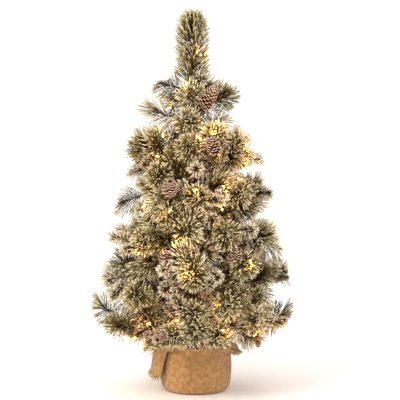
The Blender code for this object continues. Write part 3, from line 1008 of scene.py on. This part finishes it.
def hang_more_cones():
    """The cones that have no solid of their own: one pale one in front, the rest round the back."""
    wanted = [((-0.007, -0.172, 0.343), (0.10, -0.45, 0.88), 0.041, 0.0165)]
    for azimuth, height, length in BACK_CONES:
        turn, r = math.radians(azimuth), envelope(height) - 0.030
        east, north = math.cos(turn), math.sin(turn)
        wanted.append(((r * east, r * north, height), (east, north, 0.7), length, 0.0165))
    for number, (centre, way, length, radius) in enumerate(wanted):
        at = Vector(centre)
        reaches = ((distance_to(at, *twig), name) for name, _, _, twigs in LAYOUT for twig in twigs)
        make_cone(f"cone_more_{number + 1}", min(reaches)[1], centre, way, length, radius, 70 + number)


hang_more_cones()

# ---------------------------------------------------------------- burlap
# azimuth in degrees (270 is the front), height of the hem, its distance from the middle
HEM = (
    (0, 0.098, 0.1040),
    (20, 0.090, 0.1020),
    (60, 0.078, 0.0990),
    (110, 0.070, 0.0985),
    (150, 0.066, 0.1000),
    (166, 0.054, 0.1050),
    (180, 0.048, 0.1075),
    (196, 0.043, 0.1070),
    (207, 0.040, 0.1045),
    (213, 0.045, 0.1010),
    (219, 0.076, 0.0975),
    (226, 0.106, 0.0950),
    (240, 0.113, 0.0925),
    (253, 0.107, 0.0925),
    (259, 0.092, 0.0930),
    (266, 0.0825, 0.0930),
    (277, 0.0820, 0.0930),
    (284, 0.088, 0.0925),
    (300, 0.095, 0.0930),
    (322, 0.102, 0.0950),
    (340, 0.098, 0.1010),
    (352, 0.100, 0.1030),
    (360, 0.098, 0.1040),
)
# (distance from the middle, height) up the wall and over the rim
WALL_PATH = (
    (0.030, 0.0010),
    (0.062, 0.0009),
    (0.0745, 0.0014),
    (0.0795, 0.0066),
    (0.0830, 0.0160),
    (0.0854, 0.0290),
    (0.0868, 0.0520),
    (0.0862, 0.0720),
    (0.0846, 0.0900),
    (0.0822, 0.1060),
    (0.0812, 0.1130),
    (0.0822, 0.1180),
    (0.0855, 0.1210),
    (0.0895, 0.1205),
)
RIM_REACH, RIM_HEIGHT = 0.0935, 0.118
SEAM = 262.0


def hem_at(degrees):
    """Height and distance of the hem at an azimuth."""
    turns, heights, reaches = zip(*HEM)
    return np.interp(degrees % 360, turns, heights), np.interp(degrees % 360, turns, reaches)


def folds(degrees, share, rows):
    """How far the cloth stands in or out from its plain form."""
    turn = math.radians(degrees)
    total = 0.0
    for waves, phase, size in rows:
        total += size * math.sin(waves * turn + phase + 1.2 * share)
    return total


def make_burlap():
    """The cloth round the tub: bottom, wall, rim and the loose cuff with its hem."""
    rng = np.random.RandomState(5)
    rows = [(w, rng.uniform(0, 6.28), s) for w, s in ((3, 0.5), (5, 0.7), (8, 0.55), (13, 0.42), (21, 0.25))]
    around, up = 300, 104
    verts, uvs, tops = [], [], []
    for i in range(around + 1):
        degrees = SEAM + 360.0 * i / around
        turn = math.radians(degrees)
        height, reach = hem_at(degrees)
        path = [*WALL_PATH, (RIM_REACH, RIM_HEIGHT)]
        for t in (0.30, 0.65, 1.0):
            z = RIM_HEIGHT + (height - RIM_HEIGHT) * t
            r = RIM_REACH + (reach - RIM_REACH) * t**0.8
            path.append((r, z))
        line, long = smooth_path(path, up + 1)
        overlap = 360.0 * i / around
        for j, (r, z) in enumerate(line):
            share = j / up
            lift = max(0.0, min(1.0, (z - 0.012) / 0.10))
            cuff = 1.0 if (share > 0.6 and r > 0.0885 and z < 0.121) else 0.0
            size = 0.0011 * lift + 0.0014 * cuff
            out = size * folds(degrees, 4.0 * share * (0.3 + cuff), rows)
            # a hollow fold at the left front corner, and a pucker beside the seam
            dent = math.exp(-(((degrees % 360) - 206.0) / 6.0) ** 2)
            out -= 0.0035 * dent * lift * (1 - cuff)
            beside = ((degrees % 360) - SEAM - 6.0) / 9.0
            pull = math.exp(-(beside**2)) * math.exp(-((z - 0.078) / 0.022) ** 2)
            out -= 0.0022 * pull * (1 - cuff)
            # the lap over the seam
            if overlap < 5.0 and not cuff:
                out += 0.0019 * lift * (1 - overlap / 5.0)
            if overlap > 353.0 and not cuff:
                out -= 0.0006
            if z < 0.006:
                out *= 0.2
            radius = r + out
            drop = 0.0009 * cuff * folds(degrees * 1.3, 0.5, rows)
            verts.append((radius * math.cos(turn), radius * math.sin(turn), max(z + drop, 0.0009)))
            uvs.append((0.086 * turn, long * share))
        tops.append(verts[-1])
    faces, n = [], up + 1
    for i in range(around):
        for j in range(up):
            faces.append((i * n + j, (i + 1) * n + j, (i + 1) * n + j + 1, i * n + j + 1))
    mesh = bpy.data.meshes.new("burlap_wrap")
    mesh.from_pydata(verts, [], faces)
    layer = mesh.uv_layers.new(name="cloth")
    for loop in mesh.loops:
        layer.data[loop.index].uv = uvs[loop.vertex_index]
    mesh.materials.append(MATS["burlap"])
    mesh.polygons.foreach_set("use_smooth", [True] * len(mesh.polygons))
    cloth = linked("burlap_wrap", mesh)
    shell = cloth.modifiers.new("cloth", "SOLIDIFY")
    shell.thickness = 0.0011
    shell.offset = -1.0
    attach(cloth, "base")
    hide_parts("burlap_bag")
    fray = make_fray(tops, rng)


def make_fray(tops, rng):
    """Loose yarn ends all along the hem."""
    shape = Shape()
    tops = np.array(tops)
    for i in range(len(tops) - 1):
        corner = tops[i][0] < -0.078 or tops[i][0] > 0.086
        for _ in range(4 if corner else 2):
            t = rng.uniform(0, 1)
            at = tops[i] * (1 - t) + tops[i + 1] * t
            out = np.array([at[0], at[1], 0.0])
            out = out / np.linalg.norm(out)
            side = np.array([-out[1], out[0], 0.0])
            long = rng.uniform(0.004, 0.010) + (rng.uniform(0.002, 0.009) if corner else 0.0)
            way = np.array([0, 0, -1.0]) + out * rng.normal(0.25 + 0.25 * corner, 0.30)
            way = way + side * rng.normal(0, 0.35)
            way = way / np.linalg.norm(way)
            curl = side * rng.normal(0, 0.30) + out * rng.normal(0.05, 0.2)
            start = at - way * 0.0015 - out * 0.0004
            middle = start + way * long * 0.5 + curl * long * 0.12
            end = start + way * long + curl * long * 0.5
            add_tube(shape, [start, middle, end], [0.0006, 0.0005, 0.0003], 4, 0, rng.uniform(0, 1))
    piece = shape.made("burlap_fray", [MATS["yarn"]])
    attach(piece, "base")
    return piece


make_burlap()

# ---------------------------------------------------------------- lamps and their wires
# (x, z) of the lamps that face the front
LAMPS_SEEN = (
    (0.012, 0.809), (-0.024, 0.738), (-0.062, 0.681), (0.079, 0.666), (-0.074, 0.612), (0.012, 0.602),
    (0.038, 0.616), (-0.088, 0.564), (0.057, 0.562), (0.119, 0.590), (0.119, 0.547), (0.102, 0.512),
    (0.064, 0.495), (0.000, 0.490), (-0.057, 0.440), (-0.143, 0.452), (-0.026, 0.376), (0.064, 0.428),
    (0.057, 0.378), (-0.129, 0.343), (-0.067, 0.345), (-0.019, 0.302), (-0.040, 0.190), (-0.109, 0.174),
    (-0.140, 0.148), (-0.124, 0.118), (0.124, 0.324), (0.057, 0.226), (0.062, 0.174), (0.138, 0.148),
    (0.145, 0.169),
)
LAMPS_BEHIND = 22
LAMP_POWER = 0.050
# how deep a lamp's foot stands under the outline, and how far it may be moved from its twig
LAMP_DEPTH, MOST_SHIFT, FORWARDS = 0.012, 0.020, 0.024
# (radius, distance along it) of a lamp's holder and of its bulb
HOLDER = ((0.0016, -0.0085), (0.0025, -0.0080), (0.0027, -0.0020), (0.0030, 0.0), (0.0026, 0.0004))
BULB = (
    (0.0018, 0.0002), (0.0024, 0.0015), (0.0025, 0.0055),
    (0.0021, 0.0085), (0.0013, 0.0103), (0.0004, 0.0110),
)


def lamp_places():
    """(body, twig start, point on the twig, lamp foot) for every lamp."""
    spots = []
    for name, _, _, twigs in LAYOUT:
        for start, end in twigs:
            for share in (0.45, 0.65, 0.85, 1.0):
                spots.append((name, start, start.lerp(end, share), end))
    placed = []
    for x, z in LAMPS_SEEN:
        def cost(spot):
            at = spot[2]
            return math.hypot(at.x - x, at.z - z) + 0.22 * (at.y + 0.25)

        name, start, at, end = min(spots, key=cost)
        shift = Vector((x - at.x, 0.0, z - at.z))
        if shift.length > MOST_SHIFT:
            shift *= MOST_SHIFT / shift.length
        foot = at + shift + Vector((0.0, -0.012, 0.0))
        reach = envelope(foot.z) - LAMP_DEPTH
        if foot.z < CROWN and abs(foot.x) < 0.8 * reach:
            foot.y = max(foot.y - FORWARDS, -math.sqrt(reach * reach - foot.x * foot.x))
        over = math.hypot(foot.x, foot.y) - reach
        if over > 0 and foot.z < CROWN:
            foot -= Vector((foot.x, foot.y, 0.0)).normalized() * over
        placed.append((name, start, at, foot))
    rng = random.Random(3)
    behind = [s for s in spots if s[2].y > 0.02]
    while len(placed) < len(LAMPS_SEEN) + LAMPS_BEHIND:
        best, chosen = -1.0, None
        for _ in range(40):
            spot = rng.choice(behind)
            near = min((spot[2] - p[3]).length for p in placed)
            if near > best:
                best, chosen = near, spot
        name, start, at, end = chosen
        out = Vector((at.x, at.y, 0.0)).normalized()
        placed.append((name, start, at, at + out * 0.012))
    return placed


def add_turned(shape, profile, foot, way, sides, mat, tint=0.5):
    """A turned form from (radius, distance) pairs, standing on foot and pointing along way."""
    points = [foot + way * d for _, d in profile]
    radii = [r for r, _ in profile]
    add_tube(shape, points, radii, sides, mat, tint)


def light_up(name, places, string, bulbs, rng):
    """One body's lamps: bulb, holder, wire from the stem and a small warm light."""
    for number, (start, at, foot) in enumerate(places):
        out = Vector((foot.x, foot.y - 0.04, 0.0)).normalized()
        way = (out + Vector((rng.gauss(0, 0.35), rng.gauss(0, 0.35), rng.gauss(0.15, 0.4)))).normalized()
        foot = foot - way * 0.005
        add_turned(string, HOLDER, foot, way, 8, 1)
        add_turned(bulbs, BULB, foot, way, 10, 0)
        tail = foot - way * 0.0080
        for side in (-1, 1):
            off = way.cross(Vector((0.1, 0.2, 1.0))).normalized() * 0.0011 * side
            path = (
                start + off * 2,
                start.lerp(at, 0.5) + off * 3 + Vector((0, 0, 0.004)),
                at + off * 2,
                at.lerp(tail, 0.6) + off,
                tail + off * 0.6,
            )
            line, _ = smooth_path([list(p) for p in path], 12)
            add_tube(string, line, 0.00075, 5, 0)
        lamp = bpy.data.lights.new(f"glow_{name}_{number}", "POINT")
        lamp.energy = LAMP_POWER
        lamp.color = (1.0, 0.45, 0.10)
        lamp.shadow_soft_size = 0.004
        thing = linked(lamp.name, lamp)
        thing.location = foot + way * 0.019
        thing.parent = bpy.data.objects[f"body:{name}"]
        thing.matrix_parent_inverse = thing.parent.matrix_world.inverted()


def wound(path, reach):
    """The string's line round a stem, up to a share of the stem's length."""
    way = (path[-1] - path[0]).normalized()
    one = way.cross(Vector((0.3, 0.1, 0.9))).normalized()
    two = way.cross(one)
    steps, line = 26, []
    for k in range(steps + 1):
        share = reach * k / steps
        turn = 34.0 * share
        line.append(along(path, share) + (one * math.cos(turn) + two * math.sin(turn)) * 0.0031)
    return line


def climb_pole():
    """The string's six turns up the pole."""
    foot, rise, steps = 0.2155, 0.385, 149
    line = [(0.0, 0.0091, foot)]
    for k in range(1, steps + 1):
        turn = math.pi / 2 + 2 * math.pi * 6.0 * k / steps
        line.append((0.0094 * math.cos(turn), 0.0094 * math.sin(turn), foot + rise * k / steps))
    climb = Shape()
    add_tube(climb, line, 0.0012, 6, 0)
    piece = climb.made("pole_string", [MATS["wire"]])
    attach(piece, "base")


def make_lights():
    """The whole string, body by body."""
    rng = random.Random(9)
    placed = lamp_places()
    for name, _, path, _ in LAYOUT:
        mine = [(start, at, foot) for body, start, at, foot in placed if body == name]
        if not mine:
            continue
        string, bulbs = Shape(), Shape()
        far = max((start for start, _, _ in mine), key=lambda p: (p - path[0]).length)
        reach = min(1.0, (far - path[0]).length / (path[-1] - path[0]).length + 0.05)
        add_tube(string, wound(path, reach), 0.0011, 6, 0)
        light_up(name, mine, string, bulbs, rng)
        wires = string.made(f"{name}_string", [MATS["wire"], MATS["case"]])
        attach(wires, name)
        lit = bulbs.made(f"{name}_bulbs", [MATS["glow"]])
        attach(lit, name)
    climb_pole()


make_lights()

# ---------------------------------------------------------------- CAD nodes that stay
STAY = {
    "trunk_pole": "wrap",
    "base_tub": "tub",
    "ballast": "ballast",
    "battery_case": "case",
    "battery_door": "case",
    "power_switch": "black",
    "timer_board": "board",
    "battery_cell_1": "cell",
    "battery_cell_2": "cell",
    "battery_cell_3": "cell",
    "light_lead": "wire",
}
for name in frame["nodes"]:
    kind = "twig" if name.endswith("_stem") else STAY.get(name)
    if kind:
        thing = bpy.data.objects[name]
        thing.data.materials.clear()
        thing.data.materials.append(MATS[kind])

# ---------------------------------------------------------------- stage, light and camera
def make_stage():
    """Plain pale floor, soft light all round and a soft key from the upper left."""
    bpy.ops.mesh.primitive_plane_add(size=30.0, location=(0.0, 0.0, -0.0004))
    floor = bpy.context.active_object
    floor.name = "floor"
    mat, _, shader = new_material("floor", 0.9)
    shader.inputs["Base Color"].default_value = (0.98, 0.98, 0.98, 1.0)
    shader.inputs["Specular IOR Level"].default_value = 0.0
    floor.data.materials.append(mat)
    world = bpy.data.worlds.new("studio")
    world.use_nodes = True
    world.node_tree.nodes["Background"].inputs["Color"].default_value = (1.0, 0.99, 0.975, 1.0)
    world.node_tree.nodes["Background"].inputs["Strength"].default_value = 1.09
    bpy.context.scene.world = world
    for name, place, size, power in (
        ("key", (-1.5, -1.9, 2.1), 1.2, 46.0),
        ("fill", (2.0, -1.2, 1.6), 2.0, 3.0),
    ):
        lamp = bpy.data.lights.new(name, "AREA")
        lamp.energy = power
        lamp.color = (1.0, 0.93, 0.82)
        lamp.size = size
        thing = linked(name, lamp)
        thing.location = place
        aim = Vector((0.0, 0.0, 0.45)) - Vector(place)
        thing.rotation_euler = aim.to_track_quat("-Z", "Y").to_euler()


def make_camera():
    """Eye a little above the middle of the tree, straight in front."""
    target = Vector((0.0105, 0.0, 0.4600))
    distance, rise = 2.6, math.radians(1.5)
    place = target + Vector((0.0, -distance * math.cos(rise), distance * math.sin(rise)))
    lens = bpy.data.cameras.new("camera")
    lens.sensor_width = 36.0
    lens.lens = 36.0 * distance / 0.970
    thing = linked("camera", lens)
    thing.location = place
    thing.rotation_euler = (target - place).to_track_quat("-Z", "Y").to_euler()
    bpy.context.scene.camera = thing


make_stage()
make_camera()
bpy.context.scene.view_settings.view_transform = "Standard"
